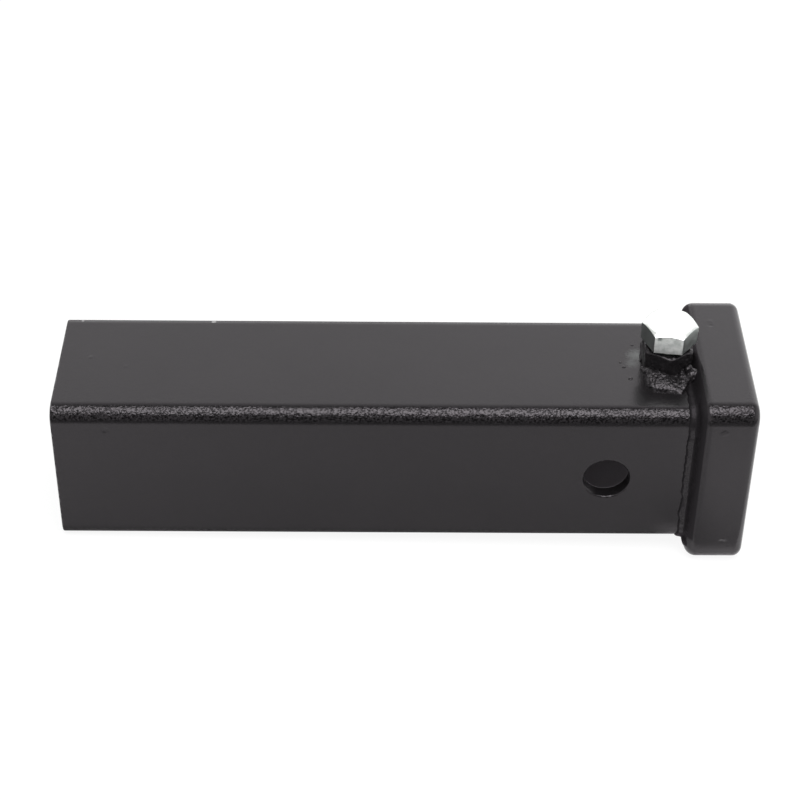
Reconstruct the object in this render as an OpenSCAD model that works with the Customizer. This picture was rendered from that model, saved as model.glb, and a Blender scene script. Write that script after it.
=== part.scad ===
// Weld-on receiver tube with a reinforcing collar and an anti-rattle bolt.
// Millimetres. The origin is where the pin-hole axis crosses the axis of the tube.
// +X runs along the tube to its mouth, +Z points up at the bolt.

/* [Tube] */
// Outside width and height of the square tube
tube_w = 63.5; // [60:0.5:70]
// Wall of the tube
tube_wall = 5.5; // [4.5:0.1:6.2]
// Outside corner radius of the tube
tube_r = 6.2; // [4:0.1:8]
// Radius of the tube's four inside corners
tube_inner_r = 2; // [1:0.1:3]
// Length of the tube, cut square at both ends
tube_len = 266.8; // [150:0.1:400]
// Rounding of the sawn outer edges at the ends of the tube
tube_end_r = 0.5; // [0.3:0.1:1]
// Lead-in chamfer inside the mouth of the tube
lead_in = 1; // [0.5:0.1:2]

/* [Pin hole] */
// Diameter of the hitch-pin hole through both side walls
pin_hole_d = 18; // [16:0.1:20]
// Distance from the pin hole to the front face of the collar
pin_to_mouth = 55.6; // [52:0.1:65]
// Broken edge around the hole on the outside of the tube
pin_hole_break = 0.4; // [0.2:0.1:1]

/* [Collar] */
// Wall of the collar
collar_wall = 6.1; // [5:0.1:8]
// Length of the collar along the tube
collar_len = 22.5; // [18:0.1:24]
// Radius of the collar's four long outer corners
collar_r = 7; // [5:0.1:9]
// Rounding of the collar's outer edge at its back
collar_back_r = 4.6; // [2:0.1:4.8]
// Rounding of the collar's outer edge at its front
collar_front_r = 3.5; // [2:0.1:4.8]
// Gap all round between the collar and the tube
collar_gap = 0.1; // [0.05:0.05:0.3]
// Depth of the end of the tube below the front face of the collar
mouth_recess = 2.3; // [1.5:0.1:4]

/* [Seam welds] */
// Length of the weld behind the collar, along the tube
back_weld_leg = 4; // [2.5:0.1:5]
// Height to which that weld climbs on the collar
back_weld_rise = 3.6; // [2:0.1:4]
// Hollow of that weld's face below a straight line from toe to toe
back_weld_hollow = 0.5; // [0.2:0.1:0.7]
// Leg of the fillet weld in the mouth of the collar
mouth_weld_leg = 2; // [1.5:0.1:2.5]
// Hollow of the mouth weld's face
mouth_weld_hollow = 0.2; // [0.1:0.1:0.4]

/* [Weld nut] */
// Distance across the flats of the weld nut
nut_af = 19; // [17:0.1:21]
// Height of the weld nut
nut_h = 10.7; // [9:0.1:13]
// Diameter of the round faces at the top and bottom of the nut
nut_face_d = 18; // [16:0.1:18.5]

/* [Nut weld] */
// Height of the weld drops above the top of the tube
drop_h = 3.4; // [2:0.1:4]
// Radius of the weld drops where they meet the tube
drop_foot_r = 4.6; // [4:0.1:6]
// Distance of the drops from the corners of the nut
drop_out = 1.8; // [0:0.1:2]
// Number of drops in each row
drop_count = 3; // [2:1:4]
// Angle that each row of drops covers around the nut
drop_sweep = 48; // [30:1:70]
// Radius of the round blob in the corner between the nut and the collar
blob_r = 3.6; // [2.5:0.1:4.5]
// Height of the middle of that blob above the top of the tube
blob_rise = 2.2; // [0:0.1:3]
// Angle of that blob round the bolt, away from the middle of the collar
blob_angle = 35; // [25:1:45]

/* [Anti-rattle bolt] */
// Outside diameter of the bolt's thread
bolt_d = 12.6; // [12:0.1:14]
// Length of the bolt under its head
bolt_len = 18.8; // [17:0.1:25]
// Distance across the flats of the head
head_af = 19; // [17:0.1:21]
// Height of the head with its washer face
head_h = 8.6; // [7:0.1:10]
// Diameter of the flat round top of the head
head_top_d = 18; // [16:0.1:18.5]
// Thickness of the washer face under the head
washer_face_h = 0.4; // [0.3:0.1:1]
// Gap between the head and the nut as the bolt stands
head_gap = 1.2; // [0.5:0.1:5]
// Turn of the head around its axis
head_turn = 22; // [-30:1:30]
// Chamfer at the tip of the bolt
tip_chamfer = 1.2; // [0.5:0.1:2]
// Clearance around the bolt in the nut
bolt_clear = 0.05; // [0.02:0.01:0.1]
// Diameter of the hole for the bolt in the top wall of the tube
bolt_hole_d = 13.5; // [13.3:0.1:15]

/* [Hidden] */
// How far a cut runs past the face that it opens
past = 1;
// Faces of round shapes, and of the small rounded edges
$fn = 96;
tube_half = tube_w / 2;
opening = tube_w - 2 * tube_wall;
opening_half = opening / 2;
mouth_x = pin_to_mouth;
tube_front = mouth_x - mouth_recess;
tube_back = tube_front - tube_len;
collar_back = mouth_x - collar_len;
collar_hole_half = tube_half + collar_gap;
collar_half = collar_hole_half + collar_wall;
// How far the root of the back weld lies past the back of the collar
weld_root = 0.8;
// The nut stands against the back of the collar with one flat, and its corners point to the sides
bolt_x = collar_back - nut_af / 2;
nut_corner_r = nut_af / 2 / cos(30);
head_corner_r = head_af / 2 / cos(30);
chamfer_slope = tan(30);
nut_bore_r = bolt_d / 2 + bolt_clear;
// Sphere that stands drop_h out of the tube with a foot of drop_foot_r
drop_r = (drop_foot_r * drop_foot_r + drop_h * drop_h) / (2 * drop_h);
drop_sink = drop_r - drop_h;

// Section of a bar's skin: X outwards from the corner axis, Y along the bar, outer corners rounded
module edge_section(depth, len, back_r, front_r) {
    intersection() {
        square([depth, len]);
        union() {
            square([depth - back_r, len / 2]);
            translate([0, len / 2]) square([depth - front_r, len / 2]);
            translate([0, back_r]) square([depth, len - back_r - front_r]);
            translate([depth - back_r, back_r]) circle(back_r);
            translate([depth - front_r, len - front_r]) circle(front_r);
        }
    }
}

// Section of a hollow fillet weld: from its root at the origin it rises to +X and runs out to -Y
module fillet_section(rise, leg, hollow) {
    chord = norm([rise, leg]);
    face_r = (chord * chord / 4 + hollow * hollow) / (2 * hollow);
    out = (face_r - hollow) / chord;
    difference() {
        translate([0, -leg]) square([rise, leg]);
        translate([rise / 2 + out * leg, -leg / 2 - out * rise]) circle(face_r);
    }
}

// Carries a section once around a square with rounded corners.
// In the section X = 0 is the axis of a corner and X = r the face of the square.
module around_square(half, r) {
    core = half - r;
    rotate([0, 90, 0])
        for (q = [0 : 3])
            rotate([0, 0, 90 * q])
                translate([core, core, 0]) {
                    rotate([90, 0, 0]) linear_extrude(2 * core) children();
                    rotate_extrude(angle = 90) children();
                }
}

// Solid bar along X with rounded corners and rounded end edges
module bar(half, r, len, back_r, front_r) {
    core = half - r;
    around_square(half, r) edge_section(r, len, back_r, front_r);
    translate([0, -core, -core]) cube([len, 2 * core, 2 * core]);
}

// Straight square passage along X, with plain rounded corners
module passage(half, r, len) {
    core = half - r;
    translate([0, -half, -core]) cube([len, 2 * half, 2 * core]);
    translate([0, -core, -half]) cube([len, 2 * core, 2 * half]);
    for (y = [-core, core], z = [-core, core])
        translate([0, y, z]) rotate([0, 90, 0]) cylinder(r = r, h = len);
}

// Hexagonal prism with two flats across X
module hexagon(af, h) {
    rotate([0, 0, 30]) cylinder(r = af / 2 / cos(30), h = h, $fn = 6);
}

module receiver_tube() {
    color([0.11, 0.11, 0.115])
        difference() {
            translate([tube_back, 0, 0]) bar(tube_half, tube_r, tube_len, tube_end_r, tube_end_r);
            translate([tube_back - past, 0, 0]) passage(opening_half, tube_inner_r, tube_len + 2 * past);
            // lead-in for the shank
            translate([tube_front, 0, 0])
                around_square(opening_half, tube_inner_r)
                    polygon([[0, 0], [tube_inner_r + lead_in, 0], [tube_inner_r, -lead_in], [0, -lead_in]]);
            // hitch-pin hole through both side walls
            rotate([90, 0, 0]) cylinder(d = pin_hole_d, h = tube_w + 2 * past, center = true);
            for (side = [-90, 90])
                rotate([side, 0, 0])
                    translate([0, 0, tube_half - pin_hole_break])
                        cylinder(r1 = pin_hole_d / 2, r2 = pin_hole_d / 2 + 2 * pin_hole_break,
                                 h = 2 * pin_hole_break);
            // bolt hole in the top wall
            translate([bolt_x, 0, opening_half - past]) cylinder(d = bolt_hole_d, h = tube_wall + 2 * past);
        }
}

// The collar before it is opened
module collar_bar() {
    translate([collar_back, 0, 0]) bar(collar_half, collar_r, collar_len, collar_back_r, collar_front_r);
}

module collar() {
    color([0.12, 0.12, 0.125])
        difference() {
            collar_bar();
            translate([collar_back - past, 0, 0])
                passage(collar_hole_half, tube_r + collar_gap, collar_len + 2 * past);
        }
}

// Ring of weld between the tube and the rounded back of the collar
module back_weld_ring() {
    translate([collar_back + weld_root, 0, 0])
        around_square(tube_half, tube_r)
            translate([tube_r, 0])
                fillet_section(back_weld_rise, back_weld_leg + weld_root, back_weld_hollow);
}

module back_weld() {
    color([0.13, 0.13, 0.13])
        difference() {
            back_weld_ring();
            collar_bar();
            translate([bolt_x, 0, tube_half - past]) hexagon(nut_af, nut_h);
        }
}

module mouth_weld() {
    color([0.13, 0.13, 0.13])
        translate([tube_front, 0, 0])
            around_square(collar_hole_half, tube_r + collar_gap)
                translate([tube_r + collar_gap, 0])
                    rotate(180) fillet_section(mouth_weld_leg, mouth_weld_leg, mouth_weld_hollow);
}

// Outline of a round bar with its corners cut at 30 degrees down to a round face
module chamfer_outline(corner_r, face_r, h, both_ends) {
    drop = (corner_r - face_r) * chamfer_slope;
    foot = both_ends ? drop : 0;
    polygon([[0, 0], [both_ends ? face_r : corner_r, 0], [corner_r, foot],
             [corner_r, h - drop], [face_r, h], [0, h]]);
}

module weld_nut() {
    countersink = 0.6;
    color([0.1, 0.1, 0.1])
        translate([bolt_x, 0, tube_half])
            difference() {
                intersection() {
                    hexagon(nut_af, nut_h);
                    rotate_extrude() chamfer_outline(nut_corner_r, nut_face_d / 2, nut_h, true);
                }
                translate([0, 0, -past]) cylinder(r = nut_bore_r, h = nut_h + 2 * past);
                translate([0, 0, nut_h - countersink])
                    cylinder(r1 = nut_bore_r, r2 = nut_bore_r + 2 * countersink, h = 2 * countersink);
            }
}

// Rows of weld drops at the two side corners of the nut, and a blob by each row against the collar
module nut_weld() {
    step = drop_sweep / (drop_count - 1);
    color([0.14, 0.14, 0.14])
        difference() {
            translate([bolt_x, 0, tube_half])
                for (side = [-1, 1]) {
                    for (i = [0 : drop_count - 1])
                        rotate([0, 0, 90 * side + step * i - drop_sweep / 2])
                            translate([nut_corner_r + drop_out, 0, -drop_sink]) sphere(drop_r);
                    rotate([0, 0, blob_angle * side])
                        translate([nut_corner_r, 0, blob_rise]) sphere(blob_r);
                }
            translate([tube_back, -tube_half, -tube_half]) cube([tube_len, tube_w, tube_w]);
            translate([bolt_x, 0, tube_half - past]) hexagon(nut_af, nut_h + past);
            collar_bar();
            back_weld_ring();
        }
}

module hex_bolt() {
    color([0.82, 0.83, 0.82])
        translate([bolt_x, 0, tube_half + nut_h + head_gap])
            rotate([0, 0, head_turn]) {
                translate([0, 0, washer_face_h])
                    intersection() {
                        hexagon(head_af, head_h - washer_face_h);
                        rotate_extrude()
                            chamfer_outline(head_corner_r, head_top_d / 2, head_h - washer_face_h, false);
                    }
                cylinder(d = head_top_d, h = washer_face_h);
                translate([0, 0, tip_chamfer - bolt_len]) cylinder(d = bolt_d, h = bolt_len - tip_chamfer);
                translate([0, 0, -bolt_len])
                    cylinder(r1 = bolt_d / 2 - tip_chamfer, r2 = bolt_d / 2, h = tip_chamfer);
            }
}

receiver_tube();
collar();
back_weld();
mouth_weld();
weld_nut();
nut_weld();
hex_bolt();
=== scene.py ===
import math
import bmesh
import bpy
from mathutils import Matrix, Vector, noise


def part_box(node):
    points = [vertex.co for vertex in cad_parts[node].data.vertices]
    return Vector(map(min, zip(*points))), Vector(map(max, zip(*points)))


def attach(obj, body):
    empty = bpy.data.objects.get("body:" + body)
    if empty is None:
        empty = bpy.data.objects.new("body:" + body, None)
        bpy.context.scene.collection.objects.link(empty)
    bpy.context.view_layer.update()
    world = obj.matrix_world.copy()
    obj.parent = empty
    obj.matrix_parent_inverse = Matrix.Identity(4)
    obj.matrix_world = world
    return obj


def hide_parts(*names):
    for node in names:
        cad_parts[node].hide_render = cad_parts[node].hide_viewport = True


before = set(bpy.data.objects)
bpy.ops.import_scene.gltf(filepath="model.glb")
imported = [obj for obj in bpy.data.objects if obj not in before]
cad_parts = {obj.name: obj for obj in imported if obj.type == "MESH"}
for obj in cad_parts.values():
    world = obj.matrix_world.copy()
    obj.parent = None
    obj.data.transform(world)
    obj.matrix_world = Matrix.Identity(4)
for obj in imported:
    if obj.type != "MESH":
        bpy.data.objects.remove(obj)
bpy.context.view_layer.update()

tubeLow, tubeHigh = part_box("receiver_tube")
collarLow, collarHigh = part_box("collar")
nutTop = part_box("weld_nut")[1].z
boltLow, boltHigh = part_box("hex_bolt")
tubeHalf = tubeHigh.y
tubeTop = tubeHigh.z
boltX = (boltLow.x + boltHigh.x) / 2
print("frame loaded")


# Camera, fitted to the outline of the tube in the photograph

cameraLook = {
    "place": (-0.0875, -0.6418, 0.5175),
    "lens": 92.7,       # mm
    "sensor": 36,       # mm across
    "nearest": 0.05,
    "down": 38.14,      # degrees below the horizon
    "yaw": -0.65,
    "roll": 0.74,
}


def addCamera():
    lens = bpy.data.cameras.new("photoCamera")
    lens.lens = cameraLook["lens"]
    lens.sensor_width = cameraLook["sensor"]
    lens.clip_start = cameraLook["nearest"]
    camera = bpy.data.objects.new("photoCamera", lens)
    bpy.context.scene.collection.objects.link(camera)
    turn = Matrix.Rotation(math.radians(cameraLook["yaw"]), 4, "Z")
    turn = turn @ Matrix.Rotation(math.radians(90 - cameraLook["down"]), 4, "X")
    turn = turn @ Matrix.Rotation(math.radians(cameraLook["roll"]), 4, "Z")
    camera.matrix_world = Matrix.Translation(cameraLook["place"]) @ turn
    bpy.context.scene.camera = camera


addCamera()
print("camera placed")


# Small tools for modelling

slack = 0.00002     # places this close count as one
reach = 0.01        # cutters stand out this far past what they cut


def deselectAll():
    if bpy.context.mode != "OBJECT":
        bpy.ops.object.mode_set(mode="OBJECT")
    bpy.ops.object.select_all(action="DESELECT")


def takeUp(piece):
    deselectAll()
    piece.select_set(True)
    bpy.context.view_layer.objects.active = piece


def nameActive(name):
    piece = bpy.context.active_object
    piece.name = name
    piece.data.name = name
    bpy.ops.object.transform_apply(location=True, rotation=True, scale=True)
    return piece


def makeBlock(name, low, high):
    deselectAll()
    low, high = Vector(low), Vector(high)
    bpy.ops.mesh.primitive_cube_add(size=1, location=(low + high) / 2)
    bpy.context.active_object.scale = high - low
    return nameActive(name)


def makeRod(name, radius, low, high, along="Z", sides=96, tip=None, turn=0.0):
    deselectAll()
    low, high = Vector(low), Vector(high)
    lean = {"Y": (-math.pi / 2, 0, 0), "Z": (0, 0, turn)}[along]
    bpy.ops.mesh.primitive_cone_add(vertices=sides, radius1=radius, radius2=radius if tip is None else tip,
                                    depth=(high - low).length, location=(low + high) / 2, rotation=lean)
    return nameActive(name)


def makeBall(name, place, size, fineness=5):
    deselectAll()
    bpy.ops.mesh.primitive_ico_sphere_add(subdivisions=fineness, radius=1, location=place)
    bpy.context.active_object.scale = size
    return nameActive(name)


def joinPieces(name, pieces):
    takeUp(pieces[0])
    for piece in pieces[1:]:
        piece.select_set(True)
    bpy.ops.object.join()
    return nameActive(name)


def applyStep(piece, kind, **values):
    takeUp(piece)
    step = piece.modifiers.new(kind.lower(), kind)
    for key, value in values.items():
        setattr(step, key, value)
    bpy.ops.object.modifier_apply(modifier=step.name)


def carve(piece, cutter, how="DIFFERENCE"):
    applyStep(piece, "BOOLEAN", operation=how, object=cutter, solver="EXACT")
    bpy.data.objects.remove(cutter)


def pickParts(piece, kind, test):
    # Picks the edges or faces that pass the test, and leaves the piece in edit mode
    takeUp(piece)
    bpy.ops.object.mode_set(mode="EDIT")
    bpy.ops.mesh.select_mode(type=kind)
    bpy.ops.mesh.select_all(action="DESELECT")
    editMesh = bmesh.from_edit_mesh(piece.data)
    for part in editMesh.edges if kind == "EDGE" else editMesh.faces:
        if test(part):
            part.select_set(True)
    bmesh.update_edit_mesh(piece.data)


def runsAlong(edge, axis):
    run = edge.verts[1].co - edge.verts[0].co
    return abs(run[axis]) > 0.9 * run.length


def bevelPicked(width, steps, profile=0.5):
    bpy.ops.mesh.bevel(offset_type="OFFSET", offset=width, segments=steps, profile=profile, affect="EDGES",
                       clamp_overlap=False)
    bpy.ops.object.mode_set(mode="OBJECT")


def bevelEdges(piece, test, width, steps, profile=0.5):
    pickParts(piece, "EDGE", lambda edge: test(edge.verts[0].co) and test(edge.verts[1].co))
    bevelPicked(width, steps, profile)


def makeBar(name, low, high, corner, steps):
    # A square bar along X with rounded long edges
    bar = makeBlock(name, low, high)
    pickParts(bar, "EDGE", lambda edge: runsAlong(edge, 0))
    bevelPicked(corner, steps)
    return bar


def smoothShade(piece, angle=32):
    takeUp(piece)
    bpy.ops.object.shade_smooth_by_angle(angle=math.radians(angle))
    applyStep(piece, "WEIGHTED_NORMAL", keep_sharp=True, weight=60)


def weldSkin(piece, voxel, rounds):
    # One even skin over joined or sharp shapes, softened as a bead is when it sets
    applyStep(piece, "REMESH", mode="VOXEL", voxel_size=voxel, use_smooth_shade=True)
    applyStep(piece, "SMOOTH", factor=0.5, iterations=rounds)


def pushOut(piece, height):
    # Moves each point along its normal, by a height that height() works out from its place
    points = piece.data.vertices
    moves = [point.normal * height(point.co) for point in points]
    for point, move in zip(points, moves):
        point.co += move
    piece.data.update()


def markPaintedShade(piece, amount):
    # Keeps at each point how much painted shade the coat gets there, from the point's place and normal
    layer = piece.data.attributes.new("paintedShade", "FLOAT", "POINT")
    for point, value in zip(piece.data.vertices, layer.data):
        value.value = toShare(amount(point.co, point.normal))


def waves(place, layers):
    # Soft noise in layers: the height of each, the size of its lumps, and a seed
    total = 0.0
    for height, size, seed in layers:
        total += height * noise.noise(Vector(place) / size + Vector((seed, 2.3 * seed, -1.7 * seed)))
    return total


def toShare(value):
    return min(max(value, 0.0), 1.0)


def near(a, b):
    return abs(a - b) < slack


def within(co, half):
    # Inside the square opening of this half width
    return max(abs(co.y), abs(co.z)) < half + slack


def finishPiece(piece, body, node, material):
    piece.data.materials.clear()
    piece.data.materials.append(material)
    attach(piece, body)
    if node:
        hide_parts(node)


# Shared effects, as node groups

effectLook = {
    "cloudScale": 38.0,
    "pitSpan": (0.46, 0.58),        # the noise turns into pits between these
    "squareTurn": (0.35, 0.10),     # faces that look along X more than this are no long corner
    "rubSpan": (0.46, 0.62),
    "rubFacing": (0.97, 0.80),
    "raggedScale": 1400.0,
}


def startGroup(name, inputs, outputs):
    group = bpy.data.node_groups.new(name, "ShaderNodeTree")
    for label, value in inputs:
        kind = "NodeSocketVector" if isinstance(value, tuple) else "NodeSocketFloat"
        socket = group.interface.new_socket(name=label, in_out="INPUT", socket_type=kind)
        socket.default_value = value
    for label in outputs:
        group.interface.new_socket(name=label, in_out="OUTPUT", socket_type="NodeSocketFloat")
    return group, group.nodes.new("NodeGroupInput"), group.nodes.new("NodeGroupOutput")


def addNode(tree, kind, links=None, **values):
    node = tree.nodes.new(kind)
    for key, value in values.items():
        if hasattr(node, key):
            setattr(node, key, value)
        else:
            node.inputs[key.replace("_", " ")].default_value = value
    for key, source in (links or {}).items():
        tree.links.new(source, node.inputs[key])
    return node


def mathNode(tree, operation, first, second=None, third=None, clamp=False):
    node = tree.nodes.new("ShaderNodeMath")
    node.operation = operation
    node.use_clamp = clamp
    for socket, value in zip(node.inputs, (first, second, third)):
        if value is None:
            continue
        if isinstance(value, (int, float)):
            socket.default_value = value
        else:
            tree.links.new(value, socket)
    return node.outputs[0]


def stretch(tree, value, low, high, toLow=0.0, toHigh=1.0):
    node = tree.nodes.new("ShaderNodeMapRange")
    tree.links.new(value, node.inputs["Value"])
    node.inputs["From Min"].default_value = low
    node.inputs["From Max"].default_value = high
    node.inputs["To Min"].default_value = toLow
    node.inputs["To Max"].default_value = toHigh
    return node.outputs["Result"]


def noiseNode(tree, place, scale, detail=2.0, roughness=0.5):
    node = addNode(tree, "ShaderNodeTexNoise", {"Vector": place}, Detail=detail, Roughness=roughness)
    if isinstance(scale, float):
        node.inputs["Scale"].default_value = scale
    else:
        tree.links.new(scale, node.inputs["Scale"])
    return node.outputs["Fac"]


def groupNode(tree, group, **values):
    node = tree.nodes.new("ShaderNodeGroup")
    node.node_tree = group
    for key, value in values.items():
        node.inputs[key.replace("_", " ")].default_value = value
    return node


def mixColors(tree, factor, first, second):
    node = tree.nodes.new("ShaderNodeMix")
    node.data_type = "RGBA"
    tree.links.new(factor, node.inputs[0])
    for socket, color in ((node.inputs[6], first), (node.inputs[7], second)):
        if isinstance(color, tuple):
            socket.default_value = (*color, 1)
        else:
            tree.links.new(color, socket)
    return node.outputs[2]


def buildGrainGroup():
    # Grain of a fine-textured powder coat: small lumps run together, finer ones on them, height centred on 0
    inputs = [("Lump Scale", 900.0), ("Fine Scale", 2200.0), ("Fine Part", 0.5), ("Pit Scale", 1250.0)]
    group, entry, leave = startGroup("coatGrain", inputs, ["Height", "Cloud", "Pits"])
    place = addNode(group, "ShaderNodeTexCoord").outputs["Object"]
    lumps = noiseNode(group, place, entry.outputs["Lump Scale"], detail=1.0)
    fine = noiseNode(group, place, entry.outputs["Fine Scale"], detail=1.0)
    lumpPart = mathNode(group, "SUBTRACT", lumps, 0.5)
    finePart = mathNode(group, "SUBTRACT", fine, 0.5)
    height = mathNode(group, "MULTIPLY_ADD", finePart, entry.outputs["Fine Part"], lumpPart)
    group.links.new(height, leave.inputs["Height"])
    cloud = noiseNode(group, place, effectLook["cloudScale"], detail=3.0, roughness=0.6)
    group.links.new(cloud, leave.inputs["Cloud"])
    pits = noiseNode(group, place, entry.outputs["Pit Scale"], detail=1.0, roughness=0.6)
    group.links.new(stretch(group, pits, *effectLook["pitSpan"]), leave.inputs["Pits"])
    return group


def buildTurnGroup():
    # 0 on the flats, 1 round the long corners, where the rolled steel is coarse and the coat draws thin
    group, entry, leave = startGroup("turnMask", [("Start", 0.985), ("Full", 0.93)], ["Mask"])
    normal = addNode(group, "ShaderNodeNewGeometry").outputs["Normal"]
    size = addNode(group, "ShaderNodeVectorMath", {0: normal}, operation="ABSOLUTE")
    parts = addNode(group, "ShaderNodeSeparateXYZ", {0: size.outputs[0]})
    most = mathNode(group, "MAXIMUM", parts.outputs["Y"], parts.outputs["Z"])
    span = addNode(group, "ShaderNodeMapRange", {"Value": most, "From Min": entry.outputs["Start"],
                                                 "From Max": entry.outputs["Full"]})
    square = stretch(group, parts.outputs["X"], *effectLook["squareTurn"])
    mask = mathNode(group, "MULTIPLY", span.outputs["Result"], square)
    group.links.new(mask, leave.inputs["Mask"])
    return group


def buildRubGroup():
    # A rim that handling has rubbed: a mask along one end, broken up by noise, none on the end face itself
    inputs = [("End", 0.0), ("Width", 0.0007), ("Break", 650.0), ("Amount", 1.0)]
    group, entry, leave = startGroup("endRub", inputs, ["Mask"])
    place = addNode(group, "ShaderNodeTexCoord").outputs["Object"]
    along = addNode(group, "ShaderNodeSeparateXYZ", {0: place}).outputs["X"]
    gap = mathNode(group, "ABSOLUTE", mathNode(group, "SUBTRACT", along, entry.outputs["End"]))
    away = mathNode(group, "DIVIDE", gap, entry.outputs["Width"])
    edge = mathNode(group, "SUBTRACT", 1.0, away, clamp=True)
    broken = noiseNode(group, place, entry.outputs["Break"])
    mask = mathNode(group, "MULTIPLY", edge, stretch(group, broken, *effectLook["rubSpan"]))
    normal = addNode(group, "ShaderNodeNewGeometry").outputs["Normal"]
    facing = mathNode(group, "ABSOLUTE", addNode(group, "ShaderNodeSeparateXYZ", {0: normal}).outputs["X"])
    mask = mathNode(group, "MULTIPLY", mask, stretch(group, facing, *effectLook["rubFacing"]))
    mask = mathNode(group, "MULTIPLY", mask, entry.outputs["Amount"], clamp=True)
    group.links.new(mask, leave.inputs["Mask"])
    return group


def buildInsideGroup():
    # 1 inside the tube, where only a thin dry mist of powder lands; its lighter colour is partly a painted
    # reflection
    group, entry, leave = startGroup("insideMask", [("Half", 0.0265)], ["Mask"])
    place = addNode(group, "ShaderNodeTexCoord").outputs["Object"]
    size = addNode(group, "ShaderNodeVectorMath", {0: place}, operation="ABSOLUTE")
    parts = addNode(group, "ShaderNodeSeparateXYZ", {0: size.outputs[0]})
    most = mathNode(group, "MAXIMUM", parts.outputs["Y"], parts.outputs["Z"])
    mask = mathNode(group, "LESS_THAN", most, entry.outputs["Half"])
    group.links.new(mask, leave.inputs["Mask"])
    return group


def buildSpotGroup():
    # A ragged spot at one place: a chip, a dent, a stain, a patch of painted light or a place left out of the
    # painted shade
    inputs = [("Place", (0.0, 0.0, 0.0)), ("Radius", 0.001), ("Ragged", 0.8), ("Core", 0.6)]
    group, entry, leave = startGroup("smallSpot", inputs, ["Mask"])
    place = addNode(group, "ShaderNodeTexCoord").outputs["Object"]
    ends = {0: place, 1: entry.outputs["Place"]}
    gap = addNode(group, "ShaderNodeVectorMath", ends, operation="DISTANCE")
    ragged = noiseNode(group, place, effectLook["raggedScale"], detail=1.0)
    ratio = mathNode(group, "DIVIDE", gap.outputs["Value"], entry.outputs["Radius"])
    swing = mathNode(group, "SUBTRACT", ragged, 0.5)
    ratio = mathNode(group, "MULTIPLY_ADD", swing, entry.outputs["Ragged"], ratio)
    span = addNode(group, "ShaderNodeMapRange", {"Value": ratio, "From Max": entry.outputs["Core"]})
    span.inputs["From Min"].default_value = 1.0
    group.links.new(span.outputs["Result"], leave.inputs["Mask"])
    return group


grainGroup = buildGrainGroup()
turnGroup = buildTurnGroup()
rubGroup = buildRubGroup()
insideGroup = buildInsideGroup()
spotGroup = buildSpotGroup()
print("shared effects built")


# Materials

def startMaterial(name):
    material = bpy.data.materials.new(name)
    material.use_nodes = True
    tree = material.node_tree
    return material, tree, tree.nodes["Principled BSDF"]


coatLook = {
    "dark": (0.0060, 0.0055, 0.0060),
    "light": (0.0100, 0.0092, 0.0098),
    "mistAndPaintedReflection": (0.125, 0.115, 0.125),   # inside the tube: thin coat, its lighter colour partly a painted reflection
    "mistRough": 0.5,
    "bare": (0.30, 0.30, 0.30),      # primer and steel in a chip
    # painted light: lighter coat where light thrown off the zinc head falls
    "hazeAndPaintedLight": (0.11, 0.12, 0.115),
    "ior": 1.46,
    "tint": (1.0, 0.93, 0.99),
    "rough": 0.20,
    "roughSpread": 0.06,
    "paintedShade": (0.026, 0.024, 0.026),    # painted shade: the dark, dull coat where shade falls, and how much rougher it is there
    "paintedShadeRough": 0.40,
    "lumpScale": 900.0,
    "fineScale": 1800.0,
    "relief": 0.00030,
}


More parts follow.
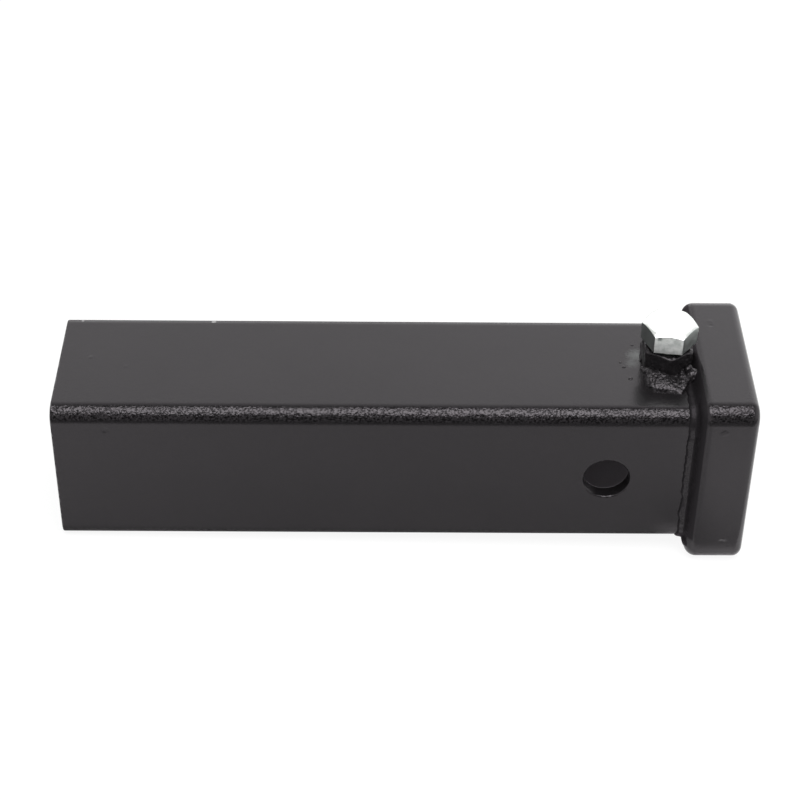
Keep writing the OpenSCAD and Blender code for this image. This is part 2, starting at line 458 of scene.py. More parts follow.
def powderCoat(name, look, relief, pits, rough=0.0, rub=None, paintedShade=None, marks=None):
    # relief and pits hold two amounts, for the flats and for the rounded corners; rub is an end's place and
    # amount; the painted-shade argument names the mesh attribute that holds where shade is painted in as
    # dark, dull coat
    material, tree, shader = startMaterial(name)
    shader.inputs["IOR"].default_value = look["ior"]
    shader.inputs["Specular Tint"].default_value = (*look["tint"], 1)
    marks = marks or {}
    grain = groupNode(tree, grainGroup, Lump_Scale=look["lumpScale"], Fine_Scale=look["fineScale"])
    turned = groupNode(tree, turnGroup).outputs["Mask"]
    inside = groupNode(tree, insideGroup).outputs["Mask"]
    color = mixColors(tree, grain.outputs["Cloud"], look["dark"], look["light"])
    # Inside the tube the coat is thin and lighter; the lighter colour is partly a painted reflection
    color = mixColors(tree, inside, color, look["mistAndPaintedReflection"])
    roughness = mathNode(tree, "MULTIPLY_ADD", grain.outputs["Cloud"], look["roughSpread"],
                         look["rough"] + rough - look["roughSpread"] / 2)
    roughness = mathNode(tree, "MULTIPLY_ADD", inside, look["mistRough"], roughness)
    # Painted light: lighter patches of coat where light thrown off the zinc head falls
    for place, radius, amount in marks.get("hazeAndPaintedLight", []):
        cloud = groupNode(tree, spotGroup, Place=place, Radius=radius, Core=0.1).outputs["Mask"]
        color = mixColors(tree, mathNode(tree, "MULTIPLY", cloud, amount), color, look["hazeAndPaintedLight"])
    if rub:
        worn = groupNode(tree, rubGroup, End=rub[0], Amount=rub[1]).outputs["Mask"]
        color = mixColors(tree, worn, color, look["bare"])
    for place, radius in marks.get("chips", []):
        chip = groupNode(tree, spotGroup, Place=place, Radius=radius).outputs["Mask"]
        color = mixColors(tree, chip, color, look["bare"])
    # Pits and painted shade throw back little light: as dark metal they keep their colour and lose the gloss
    dull = mathNode(tree, "MULTIPLY", grain.outputs["Pits"], stretch(tree, turned, 0.0, 1.0, *pits))
    # Painted shade: where the attribute says, the coat turns dark and dull, except in the listed gaps
    if paintedShade:
        paintedShadeMask = addNode(tree, "ShaderNodeAttribute", attribute_name=paintedShade).outputs["Fac"]
        for place, radius in marks.get("paintedShadeGap", []):
            full = groupNode(tree, spotGroup, Place=place, Radius=radius, Ragged=0.4, Core=0.75)
            rest = mathNode(tree, "SUBTRACT", 1.0, full.outputs["Mask"])
            paintedShadeMask = mathNode(tree, "MULTIPLY", paintedShadeMask, rest)
        color = mixColors(tree, paintedShadeMask, color, look["paintedShade"])
        dull = mathNode(tree, "MAXIMUM", dull, paintedShadeMask)
        roughness = mathNode(tree, "MULTIPLY_ADD", paintedShadeMask, look["paintedShadeRough"], roughness)
    tree.links.new(color, shader.inputs["Base Color"])
    tree.links.new(dull, shader.inputs["Metallic"])
    tree.links.new(roughness, shader.inputs["Roughness"])
    share = stretch(tree, turned, 0.0, 1.0, *relief)
    height = mathNode(tree, "MULTIPLY", grain.outputs["Height"], share)
    for place, radius, amount in marks.get("dents", []):
        dent = groupNode(tree, spotGroup, Place=place, Radius=radius, Core=0.1).outputs["Mask"]
        height = mathNode(tree, "MULTIPLY_ADD", dent, amount, height)
    bump = addNode(tree, "ShaderNodeBump", {"Height": height}, Strength=1.0, Distance=look["relief"])
    tree.links.new(bump.outputs["Normal"], shader.inputs["Normal"])
    return material


zincLook = {
    "light": (0.92, 0.935, 0.92),
    "dark": (0.70, 0.735, 0.71),
    "warm": (0.90, 0.91, 0.88),
    "side": (0.53, 0.57, 0.55),      # painted shade on the sides of the head that face along the tube
    "stain": (0.30, 0.33, 0.32),
    "stains": [((0.0187, -0.0089, 0.0508), 0.0013)],
    "shadedSideTurn": (0.60, 0.78),
    "mottleScale": 420.0,
    "hazeScale": 130.0,
    "dentScale": 520.0,
    "lightSpan": (0.35, 0.65),
    "warmSpan": (0.40, 0.75),
    "smoothSpan": (0.30, 0.70),
    "roughLow": 0.28,
    "roughHigh": 0.42,
    "relief": 0.00003,
}


def zincPlate(name, look):
    material, tree, shader = startMaterial(name)
    shader.inputs["Metallic"].default_value = 1.0
    place = addNode(tree, "ShaderNodeTexCoord").outputs["Object"]
    mottle = noiseNode(tree, place, look["mottleScale"], detail=3.0, roughness=0.65)
    patch = stretch(tree, mottle, *look["lightSpan"])
    color = mixColors(tree, patch, look["dark"], look["light"])
    # The zinc turns warmer in patches, at random
    hazeAndPaintedLight = noiseNode(tree, place, look["hazeScale"])
    color = mixColors(tree, stretch(tree, hazeAndPaintedLight, *look["warmSpan"]), color, look["warm"])
    # Painted shade: the sides of the head that face along the tube are made darker
    normal = addNode(tree, "ShaderNodeNewGeometry").outputs["Normal"]
    facing = mathNode(tree, "ABSOLUTE", addNode(tree, "ShaderNodeSeparateXYZ", {0: normal}).outputs["X"])
    color = mixColors(tree, stretch(tree, facing, *look["shadedSideTurn"]), color, look["side"])
    for spot, radius in look["stains"]:
        stain = groupNode(tree, spotGroup, Place=spot, Radius=radius, Core=0.3).outputs["Mask"]
        color = mixColors(tree, stain, color, look["stain"])
    tree.links.new(color, shader.inputs["Base Color"])
    rough = stretch(tree, mottle, *look["smoothSpan"], look["roughHigh"], look["roughLow"])
    tree.links.new(rough, shader.inputs["Roughness"])
    dents = noiseNode(tree, place, look["dentScale"])
    bump = addNode(tree, "ShaderNodeBump", {"Height": dents}, Strength=1.0, Distance=look["relief"])
    tree.links.new(bump.outputs["Normal"], shader.inputs["Normal"])
    return material


# Small marks where the photograph shows them: place, radius, and for dents the height against the grain's
tubeMarks = {
    "chips": [((-0.2073, 0.0274, 0.0317), 0.0007), ((-0.1549, 0.0273, 0.0317), 0.0011)],
    "dents": [((-0.2013, 0.0028, 0.0317), 0.0012, 0.3), ((-0.1871, -0.0029, 0.0317), 0.0012, 0.2),
              ((-0.1927, -0.0317, 0.0230), 0.0016, -0.6)],
    # painted light: lighter patches beside the nut, where light thrown off the zinc head falls
    "hazeAndPaintedLight": [((0.0129, 0.0063, 0.0317), 0.0048, 0.8), ((0.0105, 0.0010, 0.0317), 0.0035, 0.4)],
}
collarMarks = {
    "dents": [((0.0428, 0.0208, 0.0379), 0.0014, 0.22), ((0.0428, 0.0178, 0.0379), 0.0012, -0.25),
              ((0.0477, -0.0379, -0.0254), 0.0013, 0.5), ((0.0466, -0.0379, -0.0263), 0.0010, -0.6),
              ((0.0423, -0.0379, 0.0279), 0.0018, 0.5)],
    "paintedShadeGap": [((0.0350, -0.0365, -0.0322), 0.0062)],    # left out of the painted shade: the near bottom corner of the back rim
}
tubeCoat = powderCoat("tubeCoat", coatLook, relief=(0.10, 0.60), pits=(0.05, 0.85),
                      rub=(tubeLow.x, 0.5), marks=tubeMarks)
collarCoat = powderCoat("collarCoat", coatLook, relief=(0.10, 0.70), pits=(0.05, 0.85),
                        rub=(collarHigh.x, 0.3), paintedShade="paintedShade", marks=collarMarks)
beadCoat = powderCoat("beadCoat", coatLook, relief=(0.35, 0.80), pits=(0.25, 0.80), paintedShade="paintedShade")
weldCoat = powderCoat("weldCoat", coatLook, relief=(0.45, 0.45), pits=(0.55, 0.55), rough=0.12)
nutCoat = powderCoat("nutCoat", coatLook, relief=(0.20, 0.25), pits=(0.10, 0.15), rough=0.10)
brightZinc = zincPlate("brightZinc", zincLook)
print("materials ready")


# The tube

tubeShape = {
    "wall": 0.0055,
    "round": 0.0062,        # outside corner
    "innerRound": 0.002,
    "endRim": 0.0005,
    "leadIn": 0.001,
    "sawEdge": 0.0003,      # broken edge inside the rear end
    "pinRadius": 0.009,
    "pinRim": 0.0008,
    "boltHole": 0.00675,    # radius
}


def makeTube(shape):
    tube = makeBar("tubeShell", tubeLow, tubeHigh, shape["round"], steps=14)
    bevelEdges(tube, lambda co: near(co.x, tubeLow.x) or near(co.x, tubeHigh.x), shape["endRim"], steps=3)
    inner = tubeHalf - shape["wall"]
    carve(tube, makeBar("passage", (tubeLow.x - reach, -inner, -inner), (tubeHigh.x + reach, inner, inner),
                        shape["innerRound"], steps=6))
    bevelEdges(tube, lambda co: near(co.x, tubeHigh.x) and within(co, inner), shape["leadIn"], steps=1)
    bevelEdges(tube, lambda co: near(co.x, tubeLow.x) and within(co, inner), shape["sawEdge"], steps=2)
    carve(tube, makeRod("pinDrill", shape["pinRadius"], (0, -tubeHalf - reach, 0), (0, tubeHalf + reach, 0),
                        along="Y", sides=128))
    pinRadius = shape["pinRadius"]
    bevelEdges(tube, lambda co: near(abs(co.y), tubeHalf) and near(math.hypot(co.x, co.z), pinRadius),
               shape["pinRim"], steps=3)
    low, high = (boltX, 0, inner - reach), (boltX, 0, tubeTop + reach)
    carve(tube, makeRod("boltDrill", shape["boltHole"], low, high))
    smoothShade(tube)
    finishPiece(tube, "receiver", "receiver_tube", tubeCoat)


makeTube(tubeShape)
print("tube made")


# The collar

collarShape = {
    "round": 0.007,
    "backRim": 0.0046,
    "frontRim": 0.0035,
    "gap": 0.0001,
    "innerEdge": 0.0004,
    "paintedShadeTurn": (0.42, 0.52),    # painted shade on the back rim, from this turn towards the back on
    "paintedShadeAmount": 0.93,
}


# Painted shade on the collar's back rim, where it faces back along the tube
def paintedShadeBack(co, normal):
    start, full = collarShape["paintedShadeTurn"]
    return collarShape["paintedShadeAmount"] * toShare((-normal.x - start) / (full - start))


def makeCollar(shape):
    collar = makeBar("collarRing", collarLow, collarHigh, shape["round"], steps=16)
    bevelEdges(collar, lambda co: near(co.x, collarLow.x), shape["backRim"], steps=14)
    bevelEdges(collar, lambda co: near(co.x, collarHigh.x), shape["frontRim"], steps=12)
    inner = tubeHalf + shape["gap"]
    carve(collar, makeBar("seat", (collarLow.x - reach, -inner, -inner), (collarHigh.x + reach, inner, inner),
                          tubeShape["round"] + shape["gap"], steps=10))
    bevelEdges(collar, lambda co: near(co.x, collarHigh.x) and within(co, inner), shape["innerEdge"],
               steps=2)
    # Painted shade on the back rim
    markPaintedShade(collar, paintedShadeBack)
    smoothShade(collar)
    finishPiece(collar, "receiver", "collar", collarCoat)


makeCollar(collarShape)
print("collar made")


# The weld beads round the tube

backBeadShape = {
    # section from the collar down to the toe: place from the collar's back, height on the tube
    "section": [(0.0012, 0.0045), (0.0004, 0.0036), (0.0000, 0.0029), (-0.0003, 0.0022),
                (-0.0007, 0.0015), (-0.0012, 0.0011), (-0.0019, 0.0010), (-0.0026, 0.0009),
                (-0.0031, 0.0006), (-0.0035, 0.0000), (-0.0038, -0.0006)],
    # a lump at the near bottom corner, place and size
    "lumps": [((0.0022, -0.0322, -0.0303), (0.0034, 0.0040, 0.0042))],
    "under": 0.0026,            # its reach into the collar
    "root": 0.0009,             # and into the wall of the tube
    "nutStop": 0.0050,          # half the width left free for the nut
    "voxel": 0.00027,
    "soften": 3,
    # noise in layers: height, size and seed of each
    "wander": [(0.00060, 0.0042, 3.1), (0.00028, 0.0014, 5.2)],     # sways the toe
    "rough": [(0.00020, 0.0026, 1.3), (0.00005, 0.0009, 7.7)],
    "toeStray": [(1.1, 0.0022, 6.4)],
    "toeDark": 0.0008,          # painted shade along the toe, up to about this height on the tube
    "toeFull": 1.2,
    "toeAmount": 0.85,
    "paintedShadeTop": (0.0255, 0.0265, 0.9),    # painted shade on the near side, rising between these heights, by this amount
    "nearSide": -0.0100,        # it begins here
    "nearCorner": -0.0265,      # and its bottom corner here
    "paintedShadeFoot": (-0.0268, -0.0318, 0.95),    # painted shade between these heights at the corner, and none below
}


def makeBackBead(shape):
    rings = shape["section"]
    crest, rise = rings[0]
    toe = -rings[-1][0]
    half = tubeHalf + rise
    back = collarLow.x + crest
    bead = makeBar("backBead", (back, -half, -half), (collarLow.x + shape["under"], half, half),
                   tubeShape["round"] + rise, steps=12)
    pickParts(bead, "FACE", lambda face: face.normal.x < -0.9)
    # The face is drawn back and in, ring by ring, down the section
    for (x0, h0), (x1, h1) in zip(rings, rings[1:]):
        bpy.ops.mesh.inset(thickness=h0 - h1, depth=x0 - x1)
    bpy.ops.object.mode_set(mode="OBJECT")
    inner = tubeHalf - shape["root"]
    carve(bead, makeBar("beadSeat", (back - reach, -inner, -inner), (back + reach, inner, inner),
                        tubeShape["round"] - shape["root"], steps=12))
    # The bead stops at the nut, so none of it reaches the bolt
    stop = shape["nutStop"]
    carve(bead, makeBlock("nutRoom", (collarLow.x - reach, -stop, tubeTop - reach),
                          (collarLow.x, stop, tubeTop + reach)))
    collarBack = Vector((collarLow.x, 0, 0))
    lumps = [makeBall("lump", collarBack + Vector(place), size) for place, size in shape["lumps"]]
    bead = joinPieces("backBead", [bead] + lumps)
    weldSkin(bead, shape["voxel"], shape["soften"])
    for point in bead.data.vertices:
        flat = (0, point.co.y, point.co.z)
        low = toShare((collarLow.x - point.co.x) / toe)
        point.co.x += waves(flat, shape["wander"]) * low
    bead.data.update()
    pushOut(bead, lambda co: waves(co, shape["rough"]))

    # Painted shade along the toe, on the near side's top and on the back rim
    def paintedShadeAt(co, normal):
        footHigh, footLow, footShade = shape["paintedShadeFoot"]
        if co.y < shape["nearCorner"] and co.z < footHigh:
            return footShade if co.z > footLow else 0.0
        side = tubeHalf - tubeShape["round"]
        away = math.hypot(max(abs(co.y) - side, 0), max(abs(co.z) - side, 0)) - tubeShape["round"]
        toeLine = shape["toeFull"] - away / shape["toeDark"] + waves(co, shape["toeStray"])
        start, full, topShade = shape["paintedShadeTop"]
        onTop = topShade * toShare((co.z - start) / (full - start)) if co.y < shape["nearSide"] else 0.0
        return max(min(toeLine, shape["toeAmount"]), onTop, paintedShadeBack(co, normal))

    markPaintedShade(bead, paintedShadeAt)
    smoothShade(bead, 60)
    finishPiece(bead, "receiver", "back_weld", beadCoat)


mouthBeadShape = {
    "leg": 0.0020,
    "under": 0.0005,
    "voxel": 0.00028,
    "soften": 3,
    "rim": 0.0001,              # flat left beside the hollow
    "rough": [(0.00025, 0.0028, 4.4)],
    "ripple": 0.00012,
    "ripplePitch": 0.0017,
    "rippleStray": [(2.5, 0.0060, 2.0)],
}


def makeMouthBead(shape):
    outer = tubeHalf + shape["under"]
    front = tubeHigh.x + shape["leg"]
    bead = makeBar("mouthBead", (tubeHigh.x - shape["under"], -outer, -outer), (front, outer, outer),
                   tubeShape["round"] + shape["under"], steps=12)
    inner = tubeHalf - shape["leg"]
    carve(bead, makeBar("mouthSeat", (front - reach, -inner, -inner), (front + reach, inner, inner),
                        tubeShape["round"] - shape["leg"], steps=12))
    bevelEdges(bead, lambda co: near(co.x, front) and within(co, inner), shape["leg"] - shape["rim"],
               steps=5, profile=0.3)
    weldSkin(bead, shape["voxel"], shape["soften"])

    def height(co):
        around = co.y if abs(co.z) > abs(co.y) else co.z
        turn = 2 * math.pi * around / shape["ripplePitch"] + waves(co, shape["rippleStray"])
        return shape["ripple"] * math.sin(turn) + waves(co, shape["rough"])

    pushOut(bead, height)
    smoothShade(bead, 60)
    finishPiece(bead, "receiver", "mouth_weld", beadCoat)


makeBackBead(backBeadShape)
makeMouthBead(mouthBeadShape)
print("weld beads made")


# The weld nut, under a thick coat

nutShape = {
    "flats": 0.019,
    "face": 0.0090,         # radius of the round face left by the chamfer
    "slope": 30,            # degrees
    "bore": 0.00636,
    "mouth": 0.0071,        # radius of the countersink, and its depth
    "mouthDeep": 0.00104,
    "sunk": 0.0003,         # into the wall of the tube
    "topGap": 0.00002,      # kept free under the CAD nut's top
    "blunt": 0.0018,        # the corners, rounded by the coat
    "voxel": 0.00022,
    "soften": 26,
    "rough": [(0.00036, 0.0034, 9.1), (0.00016, 0.0012, 6.1)],
    "drawnIn": 0.000126,
}


def subdivideUpright(piece, cuts):
    # Cuts every upright edge, so that rings of points run round the piece
    pickParts(piece, "EDGE", lambda edge: runsAlong(edge, 2))
    bpy.ops.mesh.subdivide(number_cuts=cuts)
    bpy.ops.object.mode_set(mode="OBJECT")


def chamferHex(piece, low, high, face, slope, bothEnds=False):
    # Cuts the corners of a hexagon with a turned body, whose ends narrow to the round face of the chamfer
    past = Vector((0, 0, 0.001))
    body = makeRod("turnedBody", face, low - past, high + past, sides=144)
    subdivideUpright(body, 1)
    perHeight = 1 / math.tan(math.radians(slope))
    for point in body.data.vertices:
        deep = high.z - point.co.z
        if bothEnds:
            deep = min(deep, point.co.z - low.z)
        grow = 1 + deep * perHeight / face
        point.co.x = low.x + (point.co.x - low.x) * grow
        point.co.y = low.y + (point.co.y - low.y) * grow
    carve(piece, body, "INTERSECT")


def makeNut(shape):
    low = Vector((boltX, 0, tubeTop - shape["sunk"]))
    high = Vector((boltX, 0, nutTop))
    nut = makeRod("weldNut", shape["flats"] / math.sqrt(3), low, high, sides=6)
    pickParts(nut, "EDGE", lambda edge: runsAlong(edge, 2))
    bevelPicked(shape["blunt"], steps=5)
    chamferHex(nut, low, high, shape["face"], shape["slope"], bothEnds=True)
    weldSkin(nut, shape["voxel"], shape["soften"])
    pushOut(nut, lambda co: waves(co, shape["rough"]) - shape["drawnIn"])
    # The head seats on the top, so no lump of coat stands above it
    for point in nut.data.vertices:
        point.co.z = min(point.co.z, nutTop - shape["topGap"])
    past = Vector((0, 0, 0.002))
    carve(nut, makeRod("tap", shape["bore"], low - past, high + past))
    above = 0.0009
    deep, top = Vector((0, 0, shape["mouthDeep"])), Vector((0, 0, above))
    carve(nut, makeRod("sink", shape["bore"], high - deep, high + top, tip=shape["mouth"] + above))
    smoothShade(nut, 40)
    finishPiece(nut, "receiver", "weld_nut", nutCoat)


makeNut(nutShape)
print("nut made")


# The weld that holds the nut: lumps round its front and back corners, measured from the bolt's axis

nutBeadShape = {
    # stations along the weld: toe on the tube, foot on the nut, height at the nut
    "stations": [((-0.0103, -0.0020), (-0.0088, -0.0020), 0.0012),
                 ((-0.0098, -0.0063), (-0.0084, -0.0048), 0.0030),
                 ((-0.0092, -0.0098), (-0.0072, -0.0058), 0.0038),
                 ((-0.0088, -0.0142), (-0.0056, -0.0070), 0.0039),
                 ((-0.0062, -0.0168), (-0.0040, -0.0080), 0.0038),
                 ((-0.0010, -0.0175), (-0.0010, -0.0096), 0.0034),
                 ((0.0016, -0.0180), (0.0014, -0.0094), 0.0027),
                 ((0.0040, -0.0192), (0.0030, -0.0086), 0.0024),
                 ((0.0064, -0.0162), (0.0046, -0.0076), 0.0041),
                 ((0.0081, -0.0136), (0.0062, -0.0066), 0.0036),
                 ((0.0088, -0.0090), (0.0078, -0.0056), 0.0028)],
    "hollow": 0.25,         # how much of the height falls away evenly, the rest stays up to the toe
    # round drops against the collar, place and size
    "drops": [((0.0090, -0.0098, 0.0018), (0.0034, 0.0034, 0.0034)),
              ((0.0076, -0.0072, 0.0034), (0.0019, 0.0019, 0.0019)),
              ((0.0088, 0.0080, 0.0016), (0.0034, 0.0036, 0.0034))],
    "root": 0.0010,         # how far the weld reaches into the wall of the tube
    "deepest": 0.0012,
    "voxel": 0.00024,
    "soften": 6,
    "rough": [(0.00022, 0.0023, 2.7), (0.00022, 0.0009, 8.3)],
    "grid": (40, 16),
}


def makeApron(middle, side, shape):
    # A closed slab is mapped to the stations, its lower face is laid inside the wall of the tube
    deselectAll()
    columns, rows = shape["grid"]
    bpy.ops.mesh.primitive_grid_add(x_subdivisions=columns, y_subdivisions=rows, size=1)
    bpy.ops.object.mode_set(mode="EDIT")
    bpy.ops.mesh.extrude_region_move(TRANSFORM_OT_translate={"value": (0, 0, 1)})
    bpy.ops.object.mode_set(mode="OBJECT")
    apron = bpy.context.active_object
    stations = shape["stations"]
    hollow = shape["hollow"]
    for point in apron.data.vertices:
        along = (point.co.x + 0.5) * (len(stations) - 1)
        first = min(int(along), len(stations) - 2)
        part = along - first
        toe, foot = [Vector(stations[first][k]).lerp(Vector(stations[first + 1][k]), part) for k in (0, 1)]
        height = stations[first][2] + (stations[first + 1][2] - stations[first][2]) * part
        out = point.co.y + 0.5
        flat = foot.lerp(toe, out)
        drop = hollow * (1 - out) + (1 - hollow) * math.sqrt(max(1 - out * out, 0))
        top = point.co.z > 0.5
        point.co = middle + Vector((flat.x, -side * flat.y, height * drop if top else -shape["root"]))
    bpy.ops.object.mode_set(mode="EDIT")
    bpy.ops.mesh.select_all(action="SELECT")
    bpy.ops.mesh.normals_make_consistent(inside=False)
    bpy.ops.object.mode_set(mode="OBJECT")
    return nameActive("apron")


def makeNutBead(shape):
    middle = Vector((boltX, 0, tubeTop))
    parts = [makeBall("drop", middle + Vector(place), size) for place, size in shape["drops"]]
    parts += [makeApron(middle, side, shape) for side in (-1, 1)]
    bead = joinPieces("nutBead", parts)
    weldSkin(bead, shape["voxel"], shape["soften"])
    pushOut(bead, lambda co: waves(co, shape["rough"]))
    # None of it goes through the wall of the tube
    for point in bead.data.vertices:
        point.co.z = max(point.co.z, tubeTop - shape["deepest"])
    bead.data.update()
    smoothShade(bead, 60)
    finishPiece(bead, "receiver", "nut_weld", weldCoat)


spatterShape = {
    # place from the bolt's axis, radius
    "drops": [(-0.0166, -0.0016, 0.0007), (-0.0147, -0.0090, 0.0009), (-0.0178, 0.0014, 0.0005),
              (-0.0121, 0.0128, 0.0006), (0.0021, 0.0208, 0.0007)],
    "narrow": 0.9,          # width and height against the radius
    "flat": 0.45,
    "fineness": 3,
}


def makeSpatter(shape):
    drops = []
    for x, y, radius in shape["drops"]:
        size = Vector((radius, radius * shape["narrow"], radius * shape["flat"]))
        drops.append(makeBall("spatter", (boltX + x, y, tubeTop), size, shape["fineness"]))
    spatter = joinPieces("spatter", drops)
    smoothShade(spatter, 60)
    finishPiece(spatter, "receiver", None, weldCoat)


makeNutBead(nutBeadShape)
makeSpatter(spatterShape)
print("nut weld made")


# The bolt

boltShape = {
    "flats": 0.019,
    "face": 0.0090,         # radius of the round top
    "slope": 30,            # degrees
    "turn": 22,             # degrees, as the head stands in the photograph
    "edge": 0.00018,
    "washer": 0.0004,
    "headHeight": 0.0086,   # with the washer face
    "pitch": 0.00195,       # 13 turns in an inch
    "crest": 0.0063,        # radius
    "root": 0.0053,
    "rootFlat": 0.14,       # share of the pitch that the flat root takes, and root and flanks together
    "flankEnd": 0.84,
    "runout": 1.5,          # turns over which the thread dies out under the head
    "runoutRise": 0.0006,   # the plain shank above the root
    "tip": 0.0050,
    "rows": 5,              # first cut of the thread's length, then each part again
    "rowsAgain": 27,
    "overlap": 0.0005,      # of the washer face and the head
    "topGap": 0.00001,      # kept free under the CAD head's top
}


def threadRadius(shape, place, low, high):
    along = place.z - low
    turn = math.atan2(place.y, place.x - boltX) / (2 * math.pi)
    part = (along / shape["pitch"] - turn) % 1.0
    away = abs(part - 0.5) * 2          # 1 at the middle of a crest, 0 at the middle of a root
    depth = shape["crest"] - shape["root"]
    rise = depth * toShare((away - shape["rootFlat"]) / (shape["flankEnd"] - shape["rootFlat"]))
    runout = toShare((high - place.z) / (shape["runout"] * shape["pitch"]))
    radius = shape["root"] + shape["runoutRise"] + (rise - shape["runoutRise"]) * runout
    return min(radius, shape["tip"] + along)


def makeBolt(shape):
    under = boltHigh.z - shape["headHeight"]
    low = Vector((boltX, 0, under + shape["washer"]))
    high = Vector((boltX, 0, boltHigh.z - shape["topGap"]))
    head = makeRod("zincBolt", shape["flats"] / math.sqrt(3), low, high, sides=6,
                   turn=math.radians(shape["turn"]))
    chamferHex(head, low, high, shape["face"], shape["slope"])
    applyStep(head, "BEVEL", width=shape["edge"], segments=2, limit_method="ANGLE",
              angle_limit=math.radians(25))
    foot = Vector((boltX, 0, under))
    carve(head, makeRod("washer", shape["face"], foot, low + Vector((0, 0, shape["overlap"]))), "UNION")

    shankTop = under + shape["washer"]
    shank = makeRod("shank", shape["crest"], (boltX, 0, boltLow.z), (boltX, 0, shankTop), sides=72)
    for cuts in (shape["rows"], shape["rowsAgain"]):
        subdivideUpright(shank, cuts)
    for point in shank.data.vertices:
        out = Vector((point.co.x - boltX, point.co.y, 0))
        if out.length > slack:
            out = out.normalized() * threadRadius(shape, point.co, boltLow.z, shankTop)
            point.co = Vector((boltX + out.x, out.y, point.co.z))
    shank.data.update()
    bolt = joinPieces("zincBolt", [head, shank])
    smoothShade(bolt, 28)
    finishPiece(bolt, "bolt", "hex_bolt", brightZinc)


makeBolt(boltShape)
print("bolt made")


# Floor, light and world

studioLook = {
    "floorSize": 12.0,
    "floorGlow": 0.90,          # as the camera sees it
    "floorWhite": 0.11,         # the part of it that takes shadow
    "mirrorGlow": 0.56,         # as the coat's gloss sees it, with more of the part's own shade on it
    "mirrorWhite": 0.42,
    "plain": 0.8,               # as all other light sees it
    # The sheet in reflections, with painted shadow and painted light: only as the coat's gloss sees it, the
    # floor is dimmed and brightened by place. Spans hold a place, the amount there, a second place and the
    # amount there.
    "sheetEnd": (-0.190, 0.22, -0.125, 1.0),    # it ends in front
    "sheetLeft": (-0.21, 0.90, -0.10, 0.74),    # painted light: brighter towards the left, and again by the collar
    "sheetRight": (0.041, 0.77, 0.052, 0.98),
    "sheetNear": (-0.095, 1.0, -0.045, 0.82),   # painted shadow: dimmer close to the tube
    "sheetUnder": (-0.040, 1.0, -0.033, 0.55),  # and painted shadow under it
    "sheetCollar": (-0.072, 1.0, -0.050, 0.80),     # the same painted shadow in front of the collar
    "sheetFoot": (-0.0478, 0.80, -0.0463, 2.6),     # painted light: a bright line at the collar's foot
    "sheetEdge": (-0.0447, 1.0, -0.0408, 0.58),
    "sheetSplit": (0.022, 0.0, 0.030, 1.0),         # from the tube's part to the collar's
    "softboxSize": (1.25, 0.85),
    "softboxPlace": (0.06, -0.34, 1.1),
    "softboxPower": 18.5,
    # The room, by direction: X from left to right, Y from front to back
    "backdrop": (0.30, 0.0, 0.88, 1.0),
    "backdropRight": (0.0, 1.0, 0.2, 1.32),         # a little brighter to the right
    "wallRight": (0.55, 0.0, 0.95, 0.70),
    "wallLeft": (-0.70, 0.0, -0.98, 0.45),
    "frontLeft": (-0.08, 0.0, -0.15, 0.45),         # in front it is lighter to the left
    "front": (-0.35, 0.0, -0.55, 1.0),
    "roomDark": 0.33,
    "roomLight": 1.10,
}


def stretchSpan(tree, value, span):
    low, atLow, high, atHigh = span
    return stretch(tree, value, low, high, atLow, atHigh)


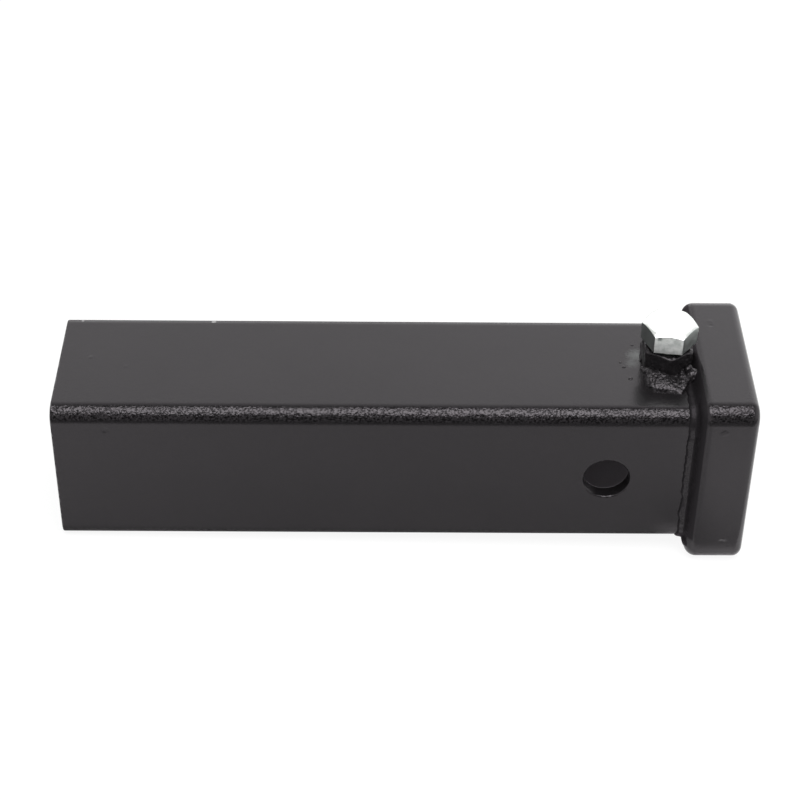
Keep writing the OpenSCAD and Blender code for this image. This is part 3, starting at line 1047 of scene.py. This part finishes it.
def addFloor():
    # The part rests on the end of the tube and on the collar, so the floor leans a little under it
    flatStart = collarLow.x + collarShape["backRim"]
    lean = math.atan2(tubeLow.z - collarLow.z, flatStart - tubeLow.x)
    deselectAll()
    bpy.ops.mesh.primitive_plane_add(size=studioLook["floorSize"], location=(tubeLow.x, 0, tubeLow.z))
    floor = bpy.context.active_object
    floor.name = "floor"
    floor.rotation_euler = (0, lean, 0)
    material = bpy.data.materials.new("floorWhite")
    material.use_nodes = True
    tree = material.node_tree
    tree.nodes.clear()
    out = tree.nodes.new("ShaderNodeOutputMaterial")
    paths = tree.nodes.new("ShaderNodeLightPath")
    direct = paths.outputs["Is Camera Ray"]
    mirrored = mathNode(tree, "MAXIMUM", paths.outputs["Is Glossy Ray"],
                        paths.outputs["Is Transmission Ray"])
    seen = mathNode(tree, "MAXIMUM", direct, mirrored)
    place = addNode(tree, "ShaderNodeTexCoord").outputs["Object"]
    parts = addNode(tree, "ShaderNodeSeparateXYZ", {0: place})
    depth = parts.outputs["Y"]
    across = mathNode(tree, "ADD", parts.outputs["X"], tubeLow.x)
    # Painted shadow and painted light on the floor, seen only by the coat's gloss
    sheet = stretchSpan(tree, depth, studioLook["sheetEnd"])
    left = stretchSpan(tree, across, studioLook["sheetLeft"])
    right = stretchSpan(tree, across, studioLook["sheetRight"])
    sheet = mathNode(tree, "MULTIPLY", sheet, mathNode(tree, "MAXIMUM", left, right))
    sheet = mathNode(tree, "MULTIPLY", sheet, stretchSpan(tree, depth, studioLook["sheetNear"]))
    under = stretchSpan(tree, depth, studioLook["sheetUnder"])
    byCollar = mathNode(tree, "MAXIMUM", stretchSpan(tree, depth, studioLook["sheetCollar"]),
                        stretchSpan(tree, depth, studioLook["sheetFoot"]))
    byCollar = mathNode(tree, "MULTIPLY", byCollar, stretchSpan(tree, depth, studioLook["sheetEdge"]))
    split = stretchSpan(tree, across, studioLook["sheetSplit"])
    change = mathNode(tree, "SUBTRACT", byCollar, under)
    sheet = mathNode(tree, "MULTIPLY", sheet, mathNode(tree, "MULTIPLY_ADD", change, split, under))
    looks = []
    layers = (("floorGlow", "floorWhite", None), ("mirrorGlow", "mirrorWhite", sheet))
    for glowKey, whiteKey, share in layers:
        strength, shade = studioLook[glowKey], studioLook[whiteKey]
        glow = addNode(tree, "ShaderNodeEmission", Color=(1, 1, 1, 1), Strength=strength)
        white = addNode(tree, "ShaderNodeBsdfDiffuse", Color=(shade,) * 3 + (1,))
        if share:
            tree.links.new(mathNode(tree, "MULTIPLY", share, strength), glow.inputs["Strength"])
            gone = addNode(tree, "ShaderNodeBsdfDiffuse", Color=(0, 0, 0, 1))
            sides = {0: share, 1: gone.outputs[0], 2: white.outputs[0]}
            white = addNode(tree, "ShaderNodeMixShader", sides)
        both = addNode(tree, "ShaderNodeAddShader", {0: glow.outputs[0], 1: white.outputs[0]})
        looks.append(both.outputs[0])
    faded = addNode(tree, "ShaderNodeMixShader", {0: direct, 1: looks[1], 2: looks[0]})
    plain = addNode(tree, "ShaderNodeBsdfDiffuse", Color=(studioLook["plain"],) * 3 + (1,))
    choose = addNode(tree, "ShaderNodeMixShader", {0: seen, 1: plain.outputs[0], 2: faded.outputs[0]})
    tree.links.new(choose.outputs[0], out.inputs["Surface"])
    floor.data.materials.append(material)


def addSoftbox():
    lamp = bpy.data.lights.new("softbox", "AREA")
    lamp.shape = "RECTANGLE"
    lamp.size, lamp.size_y = studioLook["softboxSize"]
    lamp.energy = studioLook["softboxPower"]
    holder = bpy.data.objects.new("softbox", lamp)
    place = Vector(studioLook["softboxPlace"])
    holder.location = place
    holder.rotation_euler = (Vector((place.x, 0, 0)) - place).to_track_quat("-Z", "Y").to_euler()
    bpy.context.scene.collection.objects.link(holder)


def addWorld():
    # A pale backdrop behind the part, an open dark room in front of it
    world = bpy.data.worlds.new("studio")
    bpy.context.scene.world = world
    world.use_nodes = True
    tree = world.node_tree
    tree.nodes.clear()
    out = tree.nodes.new("ShaderNodeOutputWorld")
    place = addNode(tree, "ShaderNodeTexCoord").outputs["Generated"]
    parts = addNode(tree, "ShaderNodeSeparateXYZ", {0: place})
    across, depth = parts.outputs["X"], parts.outputs["Y"]
    back = stretchSpan(tree, depth, studioLook["backdrop"])
    back = mathNode(tree, "MULTIPLY", back, stretchSpan(tree, across, studioLook["backdropRight"]))
    right = stretchSpan(tree, across, studioLook["wallRight"])
    left = stretchSpan(tree, across, studioLook["wallLeft"])
    front = mathNode(tree, "MULTIPLY", stretchSpan(tree, across, studioLook["frontLeft"]),
                     stretchSpan(tree, depth, studioLook["front"]))
    left = mathNode(tree, "MAXIMUM", left, front)
    bright = mathNode(tree, "MAXIMUM", back, mathNode(tree, "MAXIMUM", right, left))
    level = mathNode(tree, "MULTIPLY_ADD", bright, studioLook["roomLight"], studioLook["roomDark"])
    paths = tree.nodes.new("ShaderNodeLightPath")
    room = addNode(tree, "ShaderNodeBackground", {"Strength": level}, Color=(1, 1, 1, 1))
    white = addNode(tree, "ShaderNodeBackground", Color=(1, 1, 1, 1), Strength=1.0)
    choose = addNode(tree, "ShaderNodeMixShader",
                     {0: paths.outputs["Is Camera Ray"], 1: room.outputs[0], 2: white.outputs[0]})
    tree.links.new(choose.outputs[0], out.inputs["Surface"])


addFloor()
addSoftbox()
addWorld()
bpy.context.scene.view_settings.view_transform = "Standard"
print("studio ready")
